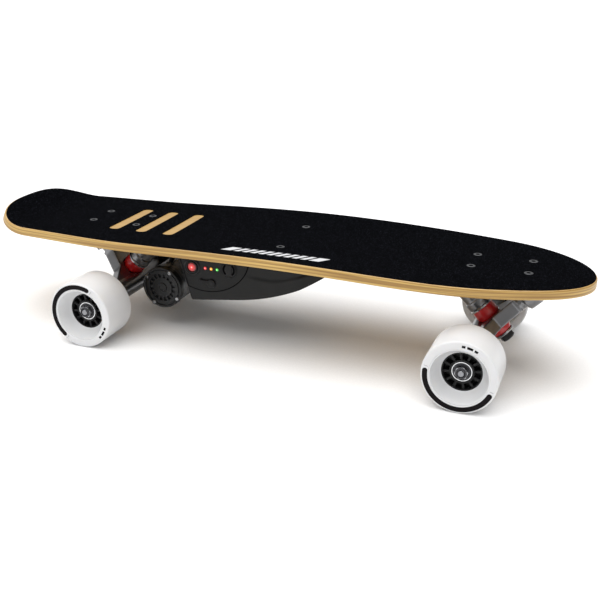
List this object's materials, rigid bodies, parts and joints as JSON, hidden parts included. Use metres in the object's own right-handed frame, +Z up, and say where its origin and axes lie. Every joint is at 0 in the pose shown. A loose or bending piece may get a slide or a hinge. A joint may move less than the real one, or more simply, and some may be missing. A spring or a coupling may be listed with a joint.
{
  "type": "electric skateboard",
  "caption": "Electric cruiser skateboard with a kicktail deck, reverse-kingpin trucks, white wheels, a belt-driven rear wheel and a battery housing under the deck.",
  "frame": {"origin": "on the floor under the middle of the deck's length, half way across the wheels", "axes": "+X to the nose, +Y to the rider's left, +Z up"},
  "size_m": [0.731, 0.2682, 0.1387],
  "materials": {
    "bamboo": "clear lacquered bamboo laminate",
    "grip": "coarse grit on a black backing",
    "bolt_black": "black oxide",
    "zinc_steel": "bright zinc plate",
    "riser_rubber": "moulded",
    "truck_aluminium": "tumbled and polished casting",
    "kingpin_steel": "machined",
    "nut_black": "black oxide",
    "bushing_urethane": "translucent red urethane",
    "pivot_urethane": "cast urethane",
    "axle_steel": "ground",
    "wheel_urethane": "white cast urethane, satin",
    "core_plastic": "moulded nylon",
    "bearing_steel": "ground rings",
    "pulley_black": "black anodised",
    "pulley_bright": "machined",
    "belt_rubber": "neoprene",
    "motor_grey": "satin",
    "motor_black": "satin black",
    "rotor_steel": "machined",
    "housing_plastic": "fine moulded texture",
    "panel_plastic": "satin",
    "gasket_foam": "closed-cell foam",
    "cell_wrap": "heat-shrink sleeve",
    "circuit_board": "solder mask with aluminium heat sink",
    "button_red": "translucent, lit from behind",
    "led_lens": "clear lenses, lit red, amber and green",
    "socket_plastic": "moulded",
    "cap_rubber": "moulded",
    "lead_rubber": "silicone insulation"
  },
  "bodies": {
    "deck_body": {"deck": "bamboo", "grip_tape": "grip", "truck_bolts": "bolt_black", "truck_locknuts": "zinc_steel", "riser_pads": "riser_rubber", "front_baseplate": "truck_aluminium", "rear_baseplate": "truck_aluminium", "front_kingpin": "kingpin_steel", "rear_kingpin": "kingpin_steel", "kingpin_nuts": "nut_black", "cup_washers": "zinc_steel", "pivot_cups": "pivot_urethane", "front_board_bushing": "bushing_urethane", "front_road_bushing": "bushing_urethane", "rear_board_bushing": "bushing_urethane", "rear_road_bushing": "bushing_urethane", "battery_housing": "housing_plastic", "housing_gasket": "gasket_foam", "housing_bolts": "bolt_black", "housing_screws": "zinc_steel", "control_panel": "panel_plastic", "battery_cells": "cell_wrap", "motor_controller": "circuit_board", "indicator_leds": "led_lens", "charge_socket": "socket_plastic", "motor_cable": "lead_rubber"},
    "front_hanger_body": {"front_hanger": "truck_aluminium", "front_axle": "axle_steel", "front_axle_nuts": "zinc_steel", "front_speed_washers": "zinc_steel", "front_bearing_spacers": "axle_steel"},
    "rear_hanger_body": {"rear_hanger": "truck_aluminium", "rear_axle": "axle_steel", "rear_axle_nuts": "zinc_steel", "rear_speed_washers": "zinc_steel", "rear_bearing_spacers": "axle_steel", "motor_mount": "motor_black", "motor_can": "motor_grey", "motor_end_cap": "motor_black", "motor_screws": "bolt_black", "drive_belt": "belt_rubber"},
    "motor_shaft_body": {"motor_rotor": "rotor_steel", "motor_pulley": "pulley_bright"},
    "power_button_body": {"power_button": "button_red"},
    "charge_cap_body": {"charge_cap": "cap_rubber"},
    "front_left_wheel": {"front_left_tyre": "wheel_urethane", "front_left_core": "core_plastic", "front_left_bearings": "bearing_steel"},
    "front_right_wheel": {"front_right_tyre": "wheel_urethane", "front_right_core": "core_plastic", "front_right_bearings": "bearing_steel"},
    "rear_left_wheel": {"rear_left_tyre": "wheel_urethane", "rear_left_core": "core_plastic", "rear_left_bearings": "bearing_steel", "wheel_pulley": "pulley_black", "pulley_screws": "zinc_steel"},
    "rear_right_wheel": {"rear_right_tyre": "wheel_urethane", "rear_right_core": "core_plastic", "rear_right_bearings": "bearing_steel"}
  },
  "joints": [
    {"name": "front_steer", "type": "hinge", "parent": "deck_body", "child": "front_hanger_body", "pos_m": [0.26132, 0, 0.05252], "axis": [0.7071, 0, 0.7071], "range_deg": [-15, 15], "stiffness_Nm_per_rad": 60, "deforming": ["front_board_bushing", "front_road_bushing"]},
    {"name": "rear_steer", "type": "hinge", "parent": "deck_body", "child": "rear_hanger_body", "pos_m": [-0.21232, 0, 0.05252], "axis": [-0.7071, 0, 0.7071], "range_deg": [-15, 15], "stiffness_Nm_per_rad": 60, "deforming": ["rear_board_bushing", "rear_road_bushing", "motor_cable"]},
    {"name": "front_left_spin", "type": "hinge", "parent": "front_hanger_body", "child": "front_left_wheel", "pos_m": [0.2488, 0, 0.04], "axis": [0, 1, 0], "continuous": true},
    {"name": "front_right_spin", "type": "hinge", "parent": "front_hanger_body", "child": "front_right_wheel", "pos_m": [0.2488, 0, 0.04], "axis": [0, 1, 0], "continuous": true},
    {"name": "rear_left_spin", "type": "hinge", "parent": "rear_hanger_body", "child": "rear_left_wheel", "pos_m": [-0.1998, 0, 0.04], "axis": [0, 1, 0], "continuous": true},
    {"name": "rear_right_spin", "type": "hinge", "parent": "rear_hanger_body", "child": "rear_right_wheel", "pos_m": [-0.1998, 0, 0.04], "axis": [0, 1, 0], "continuous": true},
    {"name": "motor_spin", "type": "hinge", "parent": "rear_hanger_body", "child": "motor_shaft_body", "pos_m": [-0.13578, 0, 0.05478], "axis": [0, 1, 0], "continuous": true},
    {"name": "power_button_press", "type": "slide", "parent": "deck_body", "child": "power_button_body", "axis": [0, 1, 0], "range_m": [0, 0.0015], "stiffness_N_per_m": 800},
    {"name": "charge_cap_hinge", "type": "hinge", "parent": "deck_body", "child": "charge_cap_body", "pos_m": [-0.037, -0.0664, 0.0857], "axis": [1, 0, 0], "range_deg": [0, 120]}
  ],
  "couplings": [
    {"joint": "motor_spin", "follows": "rear_left_spin", "ratio": 2.4}
  ]
}
